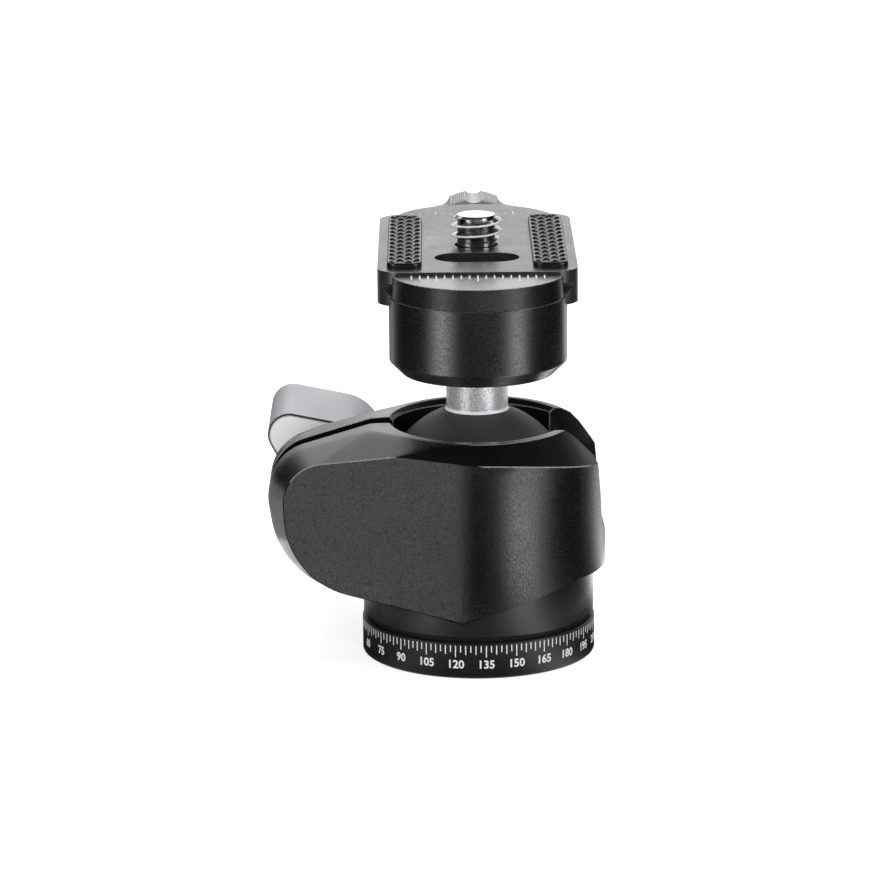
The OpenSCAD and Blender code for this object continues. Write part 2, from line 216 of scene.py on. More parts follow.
def rounded_loop(half_x: float, half_y: float, corner: float, step: float) -> np.ndarray:
    """Points of a rounded rectangle, anticlockwise, at even steps of about the given length.

    Args:
        half_x: Half its width.
        half_y: Half its length.
        corner: Radius of its corners.
        step: Distance between points.

    Returns:
        N by 2 array.
    """
    a, b = half_x - corner, half_y - corner
    quarter = corner * np.pi / 2
    runs = np.array([2 * b, quarter, 2 * a, quarter] * 2)
    ends = np.concatenate([[0], np.cumsum(runs)])
    s = np.arange(0, ends[-1], ends[-1] / round(ends[-1] / step))
    k = np.clip(np.searchsorted(ends, s, side="right") - 1, 0, 7)
    u = (s - ends[k]) / runs[k]
    side = k // 2
    centre = np.array([[a, b], [-a, b], [-a, -b], [a, -b]])
    start = np.array([[half_x, -b], [a, half_y], [-half_x, b], [-a, -half_y]])
    stop = np.array([[half_x, b], [-a, half_y], [-half_x, -b], [a, -half_y]])
    angle = np.pi / 2 * (side + u)
    arc = centre[side] + corner * np.stack([np.cos(angle), np.sin(angle)], 1)
    line = start[side] + (stop - start)[side] * u[:, None]
    return np.where((k % 2 == 0)[:, None], line, arc)


@contextmanager
def editing(mesh: Mesh) -> Iterator[bmesh.types.BMesh]:
    """Opens a mesh for editing, and writes it back at the end.

    Args:
        mesh: The mesh.

    Yields:
        The mesh in its editable form.
    """
    work = bmesh.new()
    work.from_mesh(mesh)
    yield work
    work.to_mesh(mesh)
    work.free()


def merged_copy(node: Object, name: str, merge: float = 0.002) -> Object:
    """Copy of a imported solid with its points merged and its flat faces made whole.

    Args:
        node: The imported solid.
        name: Name of the copy.
        merge: Points closer than this in millimetres become one.

    Returns:
        The copy, which stands at the origin with its place in its mesh.
    """
    mesh = node.data.copy()
    mesh.name = name
    mesh.materials.clear()
    with editing(mesh) as work:
        bmesh.ops.remove_doubles(work, verts=work.verts, dist=merge * MM)
        bmesh.ops.dissolve_limit(work, angle_limit=math.radians(LEVEL), verts=work.verts, edges=work.edges)
    for attribute in ("custom_normal", "sharp_edge", "sharp_face"):
        if attribute in mesh.attributes:
            mesh.attributes.remove(mesh.attributes[attribute])
    return link(name, mesh)


def evaluated_mesh(obj: Object) -> Mesh:
    """New mesh of an object with its modifiers applied or its curve filled."""
    return bpy.data.meshes.new_from_object(obj.evaluated_get(bpy.context.evaluated_depsgraph_get()))


def apply_modifiers(obj: Object) -> None:
    """Bakes an object's modifiers into its mesh.

    Args:
        obj: The object, which gets a new mesh and loses its modifiers.
    """
    done = evaluated_mesh(obj)
    obj.modifiers.clear()
    done.name = obj.name
    obj.data = done


def bevel_edges(
    obj: Object, chamfer: float, segments: int = 2, limit: float = SHARP, clamp: bool = True, mark: bool = False
) -> None:
    """Rounds the sharp edges of a piece a little.

    Args:
        obj: The piece.
        chamfer: Width of the broken edges in millimetres.
        segments: Segments of the rounded edge.
        limit: Edges sharper than this angle in degrees are broken.
        clamp: Whether the width is held back where edges are short.
        mark: Whether the new faces get the material number 1.
    """
    bevel = obj.modifiers.new("broken_edges", "BEVEL")
    bevel.width = chamfer * MM
    bevel.segments = segments
    bevel.limit_method = "ANGLE"
    bevel.angle_limit = math.radians(limit)
    bevel.harden_normals = False
    bevel.use_clamp_overlap = clamp
    bevel.miter_outer = "MITER_ARC"
    if mark:
        obj.data.materials.append(None)
        obj.data.materials.append(None)
        bevel.material = 1
    apply_modifiers(obj)


def shade_flats(obj: Object, smooth: float = SHARP) -> None:
    """Shades a piece smooth, weighted by the area of its faces, so that flats stay flat.

    Args:
        obj: The piece.
        smooth: Edges sharper than this angle in degrees stay sharp.
    """
    obj.data.shade_smooth()
    obj.data.set_sharp_from_angle(angle=math.radians(smooth))
    weigh = obj.modifiers.new("flats", "WEIGHTED_NORMAL")
    weigh.mode = "FACE_AREA"
    weigh.weight = 50
    weigh.keep_sharp = True
    apply_modifiers(obj)


def refined_copy(node: Object, name: str, chamfer: float, segments: int = 2) -> Object:
    """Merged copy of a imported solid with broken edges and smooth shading.

    Args:
        node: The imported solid.
        name: Name of the copy.
        chamfer: Width of the broken edges in millimetres; 0 leaves them sharp.
        segments: Segments of the rounded edge.

    Returns:
        The copy.
    """
    obj = merged_copy(node, name)
    if chamfer > 0:
        bevel_edges(obj, chamfer, segments)
    shade_flats(obj)
    return obj


# ---------------------------------------------------------------------------------------------------
# shader nodes
# ---------------------------------------------------------------------------------------------------


def feed(tree: Tree, node: Node, inputs: dict[str | int, object]) -> None:
    """Feeds the inputs of a node.

    Args:
        tree: Tree of the node.
        node: The node.
        inputs: A socket to link, or a value to set, by the input's name or number.
    """
    for key, value in inputs.items():
        if isinstance(value, Socket):
            tree.links.new(value, node.inputs[key])
        else:
            node.inputs[key].default_value = value


def add_node(tree: Tree, kind: str, inputs: dict[str | int, object] | None = None, **settings: object) -> Node:
    """Adds a shader node.

    Args:
        tree: Tree to add it to.
        kind: Type of the node, without the words ShaderNode.
        inputs: A socket or a value by the input's name or number.
        settings: Properties of the node, set before its inputs.

    Returns:
        The node.
    """
    node = tree.nodes.new("ShaderNode" + kind)
    for key, value in settings.items():
        setattr(node, key, value)
    feed(tree, node, inputs or {})
    return node


def calc(tree: Tree, operation: str, a: Socket | float, b: Socket | float) -> Socket:
    """Result of a new Math node."""
    return add_node(tree, "Math", {0: a, 1: b}, operation=operation).outputs[0]


def noise(tree: Tree, vector: Socket, scale: Socket | float, detail: float, rough: float = 0.5) -> Socket:
    """Factor of a new Noise Texture."""
    inputs = {"Vector": vector, "Scale": scale, "Detail": detail, "Roughness": rough}
    return add_node(tree, "TexNoise", inputs).outputs[0]


def remap(
    tree: Tree, value: Socket, span: tuple[float, float], low: float = 0.0, high: float = 1.0, **settings: object
) -> Socket:
    """Result of a new Map Range node, which spreads the span over the range from low to high."""
    inputs = {"Value": value, "From Min": span[0], "From Max": span[1], "To Min": low, "To Max": high}
    return add_node(tree, "MapRange", inputs, **settings).outputs[0]


def start_group(name: str, size: str, default: float) -> tuple[Tree, Socket, Socket]:
    """Starts a node group with the inputs Vector and a size in millimetres.

    Args:
        name: Name of the group.
        size: Name of the size.
        default: Its default.

    Returns:
        The group, its coordinates, and the noise scale that gives this size.
    """
    tree = bpy.data.node_groups.new(name, "ShaderNodeTree")
    tree.interface.new_socket(name="Vector", in_out="INPUT", socket_type="NodeSocketVector")
    tree.interface.new_socket(name=size, in_out="INPUT", socket_type="NodeSocketFloat").default_value = default
    source = tree.nodes.new("NodeGroupInput").outputs
    return tree, source["Vector"], calc(tree, "DIVIDE", 1.0 / MM, source[size])


def end_group(tree: Tree, outputs: dict[str, Socket]) -> Tree:
    """Gives a node group its outputs.

    Args:
        tree: The group.
        outputs: Socket for each output, by name.

    Returns:
        The group.
    """
    for key in outputs:
        tree.interface.new_socket(name=key, in_out="OUTPUT", socket_type="NodeSocketFloat")
    feed(tree, tree.nodes.new("NodeGroupOutput"), outputs)
    return tree


@cache
def grain_group() -> Tree:
    """Blasted grain: fine pits of the size Grain, in millimetres, with a coarser unevenness under them.

    Returns:
        A group with the outputs Height, Tone and Patches, all about 0.5 on average.
    """
    tree, vector, scale = start_group("blasted_grain", "Grain", 0.08)
    fine = noise(tree, vector, scale, 1.0)
    coarse = noise(tree, vector, calc(tree, "MULTIPLY", scale, 0.37), 2.0)
    height = calc(tree, "ADD", calc(tree, "MULTIPLY", fine, 0.65), calc(tree, "MULTIPLY", coarse, 0.35))
    tone = noise(tree, vector, calc(tree, "MULTIPLY", scale, 0.8), 2.0)
    patches = noise(tree, vector, 160.0, 3.0, 0.6)
    return end_group(tree, {"Height": height, "Tone": tone, "Patches": patches})


@cache
def streaks_group() -> Tree:
    """Fine turning lines of the width Pitch, in millimetres, stretched by the Mapping in front of the group.

    Returns:
        A group with the output Height.
    """
    tree, vector, scale = start_group("brushed_streaks", "Pitch", 0.06)
    return end_group(tree, {"Height": noise(tree, vector, scale, 2.0, 0.6)})


# ---------------------------------------------------------------------------------------------------
# finishes
# ---------------------------------------------------------------------------------------------------


class Lay(Enum):
    """Direction of the fine lines in a machined surface, as the stretch of the coordinates in X, Y and Z."""

    NONE = (1.0, 1.0, 1.0)
    ROUND_Z = (0.03, 0.03, 1.0)


@dataclass(frozen=True)
class Finish:
    """A surface finish, made as a Principled material with grain, patches and machining lines.

    Attributes:
        name: Name of the material.
        colour: Base colour, linear.
        roughness: Mean roughness.
        metallic: 1 for bare metal, 0 for anodised black, plastic and rubber.
        specular: Specular level.
        grain: Size of the blasted grain in millimetres.
        grain_depth: Depth of the grain in millimetres.
        tone: How much the grain changes the colour, as a share.
        sparkle: How much the grain changes the roughness, as a share.
        lay: Direction of machining lines.
        line_depth: Depth of the machining lines in millimetres.
        fade: Where the finish changes into the second one, as two places along X in millimetres.
        fade_colour: Base colour of the second finish.
        fade_roughness: Roughness of the second finish.
    """

    name: str
    colour: Triple
    roughness: float
    metallic: float = 0.0
    specular: float = 0.5
    grain: float = 0.08
    grain_depth: float = 0.003
    tone: float = 0.15
    sparkle: float = 0.0
    lay: Lay = Lay.NONE
    line_depth: float = 0.0
    fade: tuple[float, float] | None = None
    fade_colour: Triple = (0.0, 0.0, 0.0)
    fade_roughness: float = 0.4

    @cache
    def material(self) -> Material:
        """Builds the material the first time it is asked for.

        Returns:
            The material.
        """
        mat = bpy.data.materials.new(self.name)
        mat.use_nodes = True
        tree = mat.node_tree
        place = add_node(tree, "TexCoord").outputs["Object"]
        inputs = {"Grain": self.grain, "Vector": place}
        grain = add_node(tree, "Group", inputs, node_tree=grain_group()).outputs
        low, high = self.roughness * (1.0 - PATCHES), self.roughness * (1.0 + PATCHES)
        level = remap(tree, grain["Patches"], NOISE_SPAN, low, high)
        colour: Socket | Triple = self.colour
        if self.fade:
            colour, level = self._fade(tree, place, level)
        if self.sparkle > 0:
            shine = remap(tree, grain["Tone"], NOISE_SPAN, 1.0 + self.sparkle, 1.0 - self.sparkle)
            level = calc(tree, "MULTIPLY", level, shine)
        tint = remap(tree, grain["Tone"], NOISE_SPAN, 1.0 - self.tone, 1.0 + self.tone)
        bump = self._bump(tree, self.grain_depth, Height=grain["Height"])
        if self.lay is not Lay.NONE:
            stretched = add_node(tree, "Mapping", {"Vector": place, "Scale": self.lay.value}).outputs[0]
            lines = add_node(tree, "Group", {"Vector": stretched}, node_tree=streaks_group()).outputs
            bump = self._bump(tree, self.line_depth, Height=lines["Height"], Normal=bump)
        surface = {
            "Base Color": add_node(tree, "VectorMath", {0: colour, "Scale": tint}, operation="SCALE").outputs[0],
            "Metallic": self.metallic,
            "Specular IOR Level": self.specular,
            "Roughness": level,
            "Normal": bump,
        }
        feed(tree, tree.nodes["Principled BSDF"], surface)
        return mat

    def _fade(self, tree: Tree, place: Socket, level: Socket) -> tuple[Socket, Socket]:
        """Blends into the second finish, whose share is 0 before the first place along X and 1 after the second.

        Args:
            tree: Tree of the material.
            place: Object coordinates.
            level: Roughness of the first finish.

        Returns:
            The blended colour and roughness.
        """
        x = add_node(tree, "SeparateXYZ", {0: place}).outputs["X"]
        span = (self.fade[0] * MM, self.fade[1] * MM)
        share = remap(tree, x, span, interpolation_type="SMOOTHSTEP")
        ends = {"A": (*self.colour, 1.0), "B": (*self.fade_colour, 1.0), "Factor": share}
        colour = add_node(tree, "Mix", ends, data_type="RGBA").outputs["Result"]
        change = remap(tree, share, (0.0, 1.0), 1.0, self.fade_roughness / self.roughness)
        return colour, calc(tree, "MULTIPLY", level, change)

    @staticmethod
    def _bump(tree: Tree, depth: float, **inputs: Socket) -> Socket:
        """Normal of a new Bump node of the given depth in millimetres."""
        return add_node(tree, "Bump", {"Strength": 1.0, "Distance": depth * MM, **inputs}).outputs[0]


class Palette(Enum):
    """All the finishes of the ball head."""

    SATIN_BLACK = Finish(
        "satin_black_anodised", (0.006, 0.006, 0.0064), 0.26, specular=1.0, grain=0.2, grain_depth=0.005,
        sparkle=0.3,
    )
    # painted light: a lighter copy of the satin black for the clamp body's top
    JAW_TOP = Finish("jaw_top_painted_light", (0.03, 0.03, 0.031), 0.2, specular=1.0, grain=0.2, sparkle=0.2)
    GLOSS_BLACK = Finish(
        "body_black_anodised", (0.003, 0.003, 0.0033), 0.28, specular=1.0, grain=0.1, grain_depth=0.0018
    )
    BLASTED_BLACK = Finish(
        "wall_black_blasted", (0.031, 0.031, 0.033), 0.5, specular=1.0, grain=0.14, grain_depth=0.012, tone=0.9,
        sparkle=0.45, fade=(-3.4, -0.6), fade_colour=(0.004, 0.004, 0.0043), fade_roughness=0.28,
    )
    # painted shade: a near-black, hardly reflecting finish for the low broken edge round the flat face
    EDGE_DARK = Finish("edge_painted_shade", (0.002, 0.002, 0.002), 0.6, specular=0.1, grain=0.2, grain_depth=0.002)
    # painted highlight: a light grey for broken edges, standing in for the light that they catch
    EDGE_WORN = Finish(
        "edge_painted_highlight", (0.22, 0.22, 0.225), 0.4, specular=0.8, grain=0.2, grain_depth=0.004, tone=0.5
    )
    # painted highlight: a lighter grey for the narrow ledge round the clamp's wall, standing in for the light it
    # catches
    EDGE_DULL = Finish(
        "ledge_painted_highlight", (0.07, 0.07, 0.072), 0.35, specular=1.0, grain=0.3, grain_depth=0.006, tone=0.7
    )
    # painted light: a near-white copy of the silver for the lever's near face and the stem's foot fillet
    LEVER_FACE = Finish(
        "silver_painted_light", (0.92, 0.92, 0.94), 0.35, metallic=0.1, grain=0.07, grain_depth=0.001, tone=0.03
    )
    # painted shade: a dark line on the rounded edge round the lever's near face
    LEVER_LINE = Finish("lever_outline_painted_shade", (0.02, 0.02, 0.022), 0.35, grain=0.07, grain_depth=0.001)
    RING_BLACK = Finish(
        "ring_black_anodised", (0.008, 0.008, 0.009), 0.35, specular=0.8, grain=0.07, grain_depth=0.001,
        lay=Lay.ROUND_Z, line_depth=0.0008,
    )
    BALL_DARK = Finish(
        "ball_hard_anodised", (0.032, 0.032, 0.034), 0.5, specular=1.0, grain=0.06, grain_depth=0.0015
    )
    SILVER = Finish(
        "lever_silver_anodised", (0.432, 0.43, 0.458), 0.42, metallic=0.35, grain=0.07, grain_depth=0.002,
        tone=0.04,
    )
    STEM_SILVER = Finish(
        "stem_silver_blasted", (0.80, 0.80, 0.82), 0.36, metallic=0.65, grain=0.2, grain_depth=0.010, tone=0.3,
        sparkle=0.2,
    )
    KNOB_SILVER = Finish(
        "knob_silver_anodised", (0.41, 0.41, 0.427), 0.38, metallic=0.5, grain=0.07, grain_depth=0.002, tone=0.05
    )
    STEEL = Finish(
        "plain_steel", (0.48, 0.47, 0.46), 0.32, metallic=1.0, grain=0.1, grain_depth=0.001, lay=Lay.ROUND_Z,
        line_depth=0.001,
    )
    # painted highlight: a pale, rough metal on the thread's crests, standing in for the light they catch
    SCREW_CREST = Finish("screw_crest_painted_highlight", (0.90, 0.90, 0.90), 0.5, metallic=0.3, grain=0.1, grain_depth=0.001)
    SCREW_STEEL = Finish(
        "screw_steel_polished", (0.70, 0.695, 0.69), 0.15, metallic=1.0, grain=0.12, grain_depth=0.0008
    )
    ZINC = Finish("bushing_zinc", (0.50, 0.47, 0.38), 0.36, metallic=1.0, grain=0.15, grain_depth=0.001)
    OXIDE = Finish("screw_black_oxide", (0.03, 0.03, 0.033), 0.38, metallic=0.6, grain=0.1, grain_depth=0.001)
    RUBBER = Finish("pad_rubber", (0.003, 0.003, 0.0033), 0.3, specular=1.0, grain_depth=0.002, tone=0.2)
    WASHER = Finish("washer_black", (0.008, 0.008, 0.008), 0.6, specular=0.3)
    ACETAL = Finish("acetal_white", (0.75, 0.74, 0.70), 0.4, grain=0.2, grain_depth=0.001, tone=0.03)
    PLATE = Finish(
        "plate_black_blasted", (0.016, 0.016, 0.017), 0.33, specular=1.0, grain=0.15, grain_depth=0.0025,
        tone=0.4, sparkle=0.25,
    )
    MARK = Finish("engraved_white", (0.72, 0.72, 0.72), 0.7, specular=0.2, grain=0.06, grain_depth=0.0, tone=0.08)


def dress(obj: Object, look: Palette) -> None:
    """Gives an object one finish."""
    obj.data.materials.clear()
    obj.data.materials.append(look.value.material())


def paint(obj: Object, kinds: np.ndarray, *looks: Palette) -> None:
    """Adds further finishes to a dressed piece and shares out its faces.

    Args:
        obj: The piece.
        kinds: Number of each face's finish; 0 is the one that it has.
        looks: The finishes from number 1 on.
    """
    for look in looks:
        obj.data.materials.append(look.value.material())
    obj.data.polygons.foreach_set("material_index", kinds.astype(np.int32))


# ---------------------------------------------------------------------------------------------------
# the ball head
# ---------------------------------------------------------------------------------------------------


@dataclass
class Assembly:
    """What every sub-assembly needs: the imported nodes."""

    nodes: dict[str, Object]

    def refine(self, node: str, body: str, look: Palette, slot: str, chamfer: float, segments: int = 2) -> None:
        """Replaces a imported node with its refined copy.

        Args:
            node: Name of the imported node.
            body: Body that it moves with.
            look: Its finish.
            slot: Its slot in the record.
            chamfer: Width of the broken edges in millimetres.
            segments: Segments of the rounded edges.
        """
        obj = refined_copy(self.nodes[node], node + "_finished", chamfer, segments)
        self.settle(obj, body, look, slot, node)

    def settle(self, obj: Object, body: str, look: Palette, slot: str, *replaced: str) -> None:
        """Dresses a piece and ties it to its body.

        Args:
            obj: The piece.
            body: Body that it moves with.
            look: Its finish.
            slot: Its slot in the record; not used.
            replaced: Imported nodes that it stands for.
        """
        dress(obj, look)
        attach(obj, body)
        if replaced:
            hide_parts(*replaced)
        LOG.info("%s: %d faces, rides on %s", obj.name, len(obj.data.polygons), body)

    def recolour(self, node: str, look: Palette) -> None:
        """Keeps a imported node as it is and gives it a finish."""
        dress(self.nodes[node], look)
        LOG.info("%s: packed shape with a new finish", node)


@dataclass
class PanningBase(Assembly):
    """Base ring with its engraved degree scale, pan washer, tripod socket and snap ring."""

    radius: float = 15.0
    zero_angle: float = 131.87
    tick_top: float = 4.35
    tick_long: float = 1.5
    tick_mid: float = 1.15
    tick_short: float = 0.85
    tick_w: float = 0.13
    digit_height: float = 1.08
    digit_base: float = 1.42
    digit_share: float = 0.73  # height of a digit over the size of the type
    digit_weight: float = 0.032  # how much bolder the strokes get, over the height

    def build(self) -> None:
        """Builds the base and its scale."""
        self.refine("base_disc", "base", Palette.RING_BLACK, "base_black", 0.06, 1)
        self.refine("pan_washer", "base", Palette.WASHER, "washer_black", 0.05)
        self.refine("snap_ring", "base", Palette.STEEL, "spring_steel", 0.05)
        self.refine("thread_socket", "base", Palette.STEEL, "socket_steel", 0.1)
        self.refine("reducer_bushing", "base", Palette.ZINC, "bushing_steel", 0.1)
        self.ticks()
        self.numbers()

    def direction(self, degrees: np.ndarray | float) -> np.ndarray:
        """Direction of a mark of the scale in radians, measured from the X axis."""
        return np.radians(degrees - self.zero_angle - 90.0)

    def ticks(self) -> None:
        """Engraves a tick every 2.5 degrees, a longer one every 5 and the longest every 15.

        A corner lies half the tick's width over the radius to either side of its direction, just under the
        surface or just above it.
        """
        value = np.arange(0, 360, 2.5)
        length = np.where(value % 5 == 0, self.tick_mid, self.tick_short)
        length[value % 15 == 0] = self.tick_long
        a = self.direction(value)[:, None] + np.array([1, -1, -1, 1] * 2) * self.tick_w / 2 / self.radius
        r = self.radius + np.array([-SUNK, -SUNK, PROUD, PROUD] * 2)
        z = self.tick_top - length[:, None] * np.repeat([1, 0], 4)
        obj = write_boxes("scale_ticks", np.stack([r * np.cos(a), r * np.sin(a), z], 2))
        self.settle(obj, "base", Palette.MARK, "base_black")

    def digits(self, text: str) -> tuple[np.ndarray, list[tuple[int, ...]]]:
        """Outline of a number as a thin closed solid, centred, in millimetres.

        Args:
            text: The number.

        Returns:
            Points (x to the right, y up, z out of the page, from 0 to 1) and faces.
        """
        curve = bpy.data.curves.new("digits", "FONT")
        curve.body = text
        curve.align_x = "CENTER"
        curve.size = self.digit_height / self.digit_share
        curve.extrude = 0.5
        curve.offset = self.digit_weight * self.digit_height
        curve.resolution_u = 3
        obj = link("digits", curve)
        mesh = evaluated_mesh(obj)
        points = read(mesh.vertices, "co") + [0.0, 0.0, curve.extrude]
        faces = [tuple(p.vertices) for p in mesh.polygons]
        bpy.data.objects.remove(obj)
        bpy.data.curves.remove(curve)
        bpy.data.meshes.remove(mesh)
        return points, faces

    def numbers(self) -> None:
        """Engraves a number every 15 degrees, bent round the ring.

        A point (x, y) of a flat digit goes to the angle x over the radius, at the height y.
        """
        points, faces, start = [], [], 0
        for value in range(0, 360, 15):
            flat, polys = self.digits(str(value))
            a = self.direction(value) + flat[:, 0] / self.radius
            r = self.radius - SUNK + (SUNK + PROUD) * flat[:, 2]
            points.append(np.stack([r * np.cos(a), r * np.sin(a), self.digit_base + flat[:, 1]], 1))
            faces.extend(tuple(i + start for i in p) for p in polys)
            start += len(flat)
        obj = write_mesh("scale_numbers", np.concatenate(points), faces)
        self.settle(obj, "base", Palette.MARK, "base_black")


@dataclass
class SplitHousing(Assembly):
    """Split clamp housing with its blasted flat faces, ear insert and thrust washer."""

    slant: float = math.radians(7.5)
    end_x: float = -15.0  # where the clamp end starts
    end_wall: float = 4.0  # how far the walls go on round it
    neck_x: float = -4.0  # where the round wall starts
    crown_low: float = 14.0
    edge_low: float = 17.0  # a broken edge above it gets a painted highlight
    border_low: float = 25.0  # the same for an edge round a flat face, which gets painted shade below it
    crown_step: float = 0.6
    crown_rounds: int = 30
    chamfer: float = 0.09
    break_from: float = 30.0  # degrees; sharper edges are broken
    sharp: float = 26.0  # degrees; sharper edges stay sharp in the shading
    merge: float = 0.08
    reach: float = 0.15  # how near to the outer skin or to a flat face a face has to be to belong to it
    flat_area: float = 20.0  # square millimetres; a smaller face isn't a flat one
    flat_cos: float = 0.9995  # cosine of the angle between a flat face and its slant
    wall_cos: float = 0.96  # the same for the walls beside it
    upright: float = 0.25  # an upright wall's normal climbs less than this
    upward: float = 0.04  # the crown's normals climb more than this
    halvings: int = 7  # at most

    def build(self) -> None:
        """Builds the housing."""
        housing = merged_copy(self.nodes["housing"], "housing_finished", self.merge)
        outline = read(housing.data.vertices, "co")
        bevel_edges(housing, self.chamfer, limit=self.break_from, clamp=False, mark=True)
        self.split_crown(housing.data, outline)
        shade_flats(housing, self.sharp)
        self.even_normals(housing.data)
        kinds = take(housing.data, "kind")
        self.settle(housing, "housing", Palette.GLOSS_BLACK, "housing_black", "housing")
        # broken edges get a painted highlight, and the low edge round the flat face gets painted shade
        paint(housing, kinds, Palette.BLASTED_BLACK, Palette.EDGE_WORN, Palette.EDGE_DARK)
        self.refine("ear_insert", "housing", Palette.STEEL, "socket_steel", 0.1)
        self.refine("thrust_washer", "housing", Palette.STEEL, "socket_steel", 0.05)

    def split_crown(self, mesh: Mesh, outline: np.ndarray) -> None:
        """Sorts the faces, and splits those of the rounded crown and clamp end finely.

        The outer skin is convex, so its faces are those whose plane has the whole housing behind it. Of these,
        the region takes the ones that look upwards or belong to the clamp end, without the flat faces and the
        broken edges. Its edges are halved until none is longer than the step. The face attribute kind is 0 for
        a smooth face, 1 for a blasted wall, 2 for a broken edge with a painted highlight and 3 for a broken
        edge with painted shade.

        Args:
            mesh: Mesh of the housing; broken edges have the material number 1.
            outline: Points of the housing before its edges were broken.
        """
        normal, centre = read(mesh.polygons, "normal"), read(mesh.polygons, "center")
        area, number = read(mesh.polygons, "area"), read(mesh.polygons, "material_index")
        x, y, z = centre.T / MM
        behind = (outline @ normal.T).max(0) - (normal * centre).sum(1)
        across = np.abs(normal[:, 1]) * math.cos(self.slant) - normal[:, 0] * math.sin(self.slant)
        flat = (across > self.flat_cos) & (area > self.flat_area * MM**2)
        skin = (behind < self.reach * MM) & (number == 0)
        upright = (np.abs(normal[:, 2]) < self.upright) & (x > self.end_x - self.end_wall)
        upright &= (across > self.wall_cos) | (x > self.neck_x)
        wall = skin & (flat | upright)
        rounded = (normal[:, 2] > self.upward) | (x < self.end_x)
        region = skin & ~wall & rounded & (z > self.crown_low)
        reach = np.abs(y) * math.cos(self.slant) - x * math.sin(self.slant)
        border = (reach > reach[flat].max() - self.reach) & (x < self.neck_x)
        # painted highlight on broken edges high up, painted shade on the edge round the flat face low down
        broken = np.where(z > np.where(border, self.border_low, self.edge_low), 2, np.where(border, 3, 0))
        kind = np.where(number == 1, broken, np.where(wall, 1, 0))
        with editing(mesh) as work:
            layers = work.faces.layers.int
            for name in ("crown", "kind"):
                layers.new(name)
            work.faces.ensure_lookup_table()
            for name, values in (("crown", region), ("kind", kind)):
                layer = layers[name]
                for index in np.flatnonzero(values):
                    work.faces[int(index)][layer] = int(values[index])
            crown, step = layers["crown"], self.crown_step * MM
            for _ in range(self.halvings):
                bmesh.ops.triangulate(work, faces=[f for f in work.faces if f[crown]])
                edges = dict.fromkeys(e for f in work.faces if f[crown] for e in f.edges)
                edges = [e for e in edges if e.calc_length() > step]
                if not edges:
                    break
                bmesh.ops.subdivide_edges(work, edges=edges, cuts=1)
            bmesh.ops.triangulate(work, faces=[f for f in work.faces if f[crown]])
            for item in work.faces:
                item.material_index = 0
        LOG.info("crown: %d faces, split to %d", int(region.sum()), len(mesh.polygons))

    def even_normals(self, mesh: Mesh) -> None:
        """Evens out the shading of the crown, so that its facets don't show.

        The normal of each point of the region starts as the sum of its faces' normals by area and moves half
        the way to the mean of its neighbours, many times over. All other corners keep theirs.

        Args:
            mesh: Mesh of the housing, with the face attribute crown.
        """
        corner, edge = read(mesh.loops, "vertex_index"), read(mesh.loops, "edge_index")
        weighted = read(mesh.polygons, "normal") * read(mesh.polygons, "area")[:, None]
        owner = np.repeat(np.arange(len(mesh.polygons)), read(mesh.polygons, "loop_total"))
        inside = take(mesh, "crown")[owner] == 1
        points = len(mesh.vertices)
        at, face = corner[inside], owner[inside]
        normal = np.stack([np.bincount(at, weighted[face, k], points) for k in range(3)], 1)
        a, b = read(mesh.edges, "vertices")[np.unique(edge[inside])].T
        degree = np.maximum(np.bincount(a, minlength=points) + np.bincount(b, minlength=points), 1)[:, None]
        for _ in range(self.crown_rounds):
            normal = self.unit(normal)
            near = [np.bincount(a, normal[b, k], points) + np.bincount(b, normal[a, k], points) for k in range(3)]
            normal = 0.5 * normal + 0.5 * np.stack(near, 1) / degree
        split = read(mesh.corner_normals, "vector")
        split[inside] = self.unit(normal)[at]
        mesh.normals_split_custom_set(split.tolist())

    @staticmethod
    def unit(rows: np.ndarray) -> np.ndarray:
        """Rows scaled to the length 1; a row of zeros stays."""
        return rows / np.maximum(np.linalg.norm(rows, axis=1), 1e-12)[:, None]


@dataclass
class LockLever(Assembly):
    """Silver lever with painted light on its near face and painted shade round it, its stud and its screw."""

    rounding: float = 0.5
    same_plane: float = 0.05

    def build(self) -> None:
        """Builds the lever."""
        lever = merged_copy(self.nodes["lock_lever"], "lock_lever_finished")
        bevel_edges(lever, self.rounding, 4, mark=True)
        shade_flats(lever)
        kinds = self.kinds(lever.data)
        self.settle(lever, "lever", Palette.SILVER, "lever_silver", "lock_lever")
        # the near face gets painted light and the line round it painted shade
        paint(lever, kinds, Palette.LEVER_FACE, Palette.LEVER_LINE)
        self.refine("clamp_stud", "lever", Palette.STEEL, "socket_steel", 0.1)
        self.refine("lever_screw", "lever", Palette.OXIDE, "fastener_black", 0.15)

    def kinds(self, mesh: Mesh) -> np.ndarray:
        """Sorts the lever's faces.

        The flat face is the largest one that looks along -Y, with all that lies in its plane and is turned by
        less than 10 degrees from it. The line is the part of the rounded edge next to it that is turned by 20 to
        70 degrees.

        Args:
            mesh: Mesh of the lever; rounded edges have the material number 1.

        Returns:
            For each face 0 where it is satin, 1 on the flat face, which gets painted light, and 2 on the line
            round it, which gets painted shade.
        """
        normal, centre = read(mesh.polygons, "normal"), read(mesh.polygons, "center")
        near = int(np.argmax(np.where(normal[:, 1] < -0.9, read(mesh.polygons, "area"), 0)))
        turned = normal @ normal[near]
        below = (centre[near] - centre) @ normal[near] / MM
        edge = (read(mesh.polygons, "material_index") == 1) & (below < self.rounding)
        level, start, end = np.cos(np.radians([10, 20, 70]))
        line = edge & (turned < start) & (turned > end)
        face = (turned > level) & (below < self.same_plane)
        return np.where(line, 2, np.where(face, 1, 0))


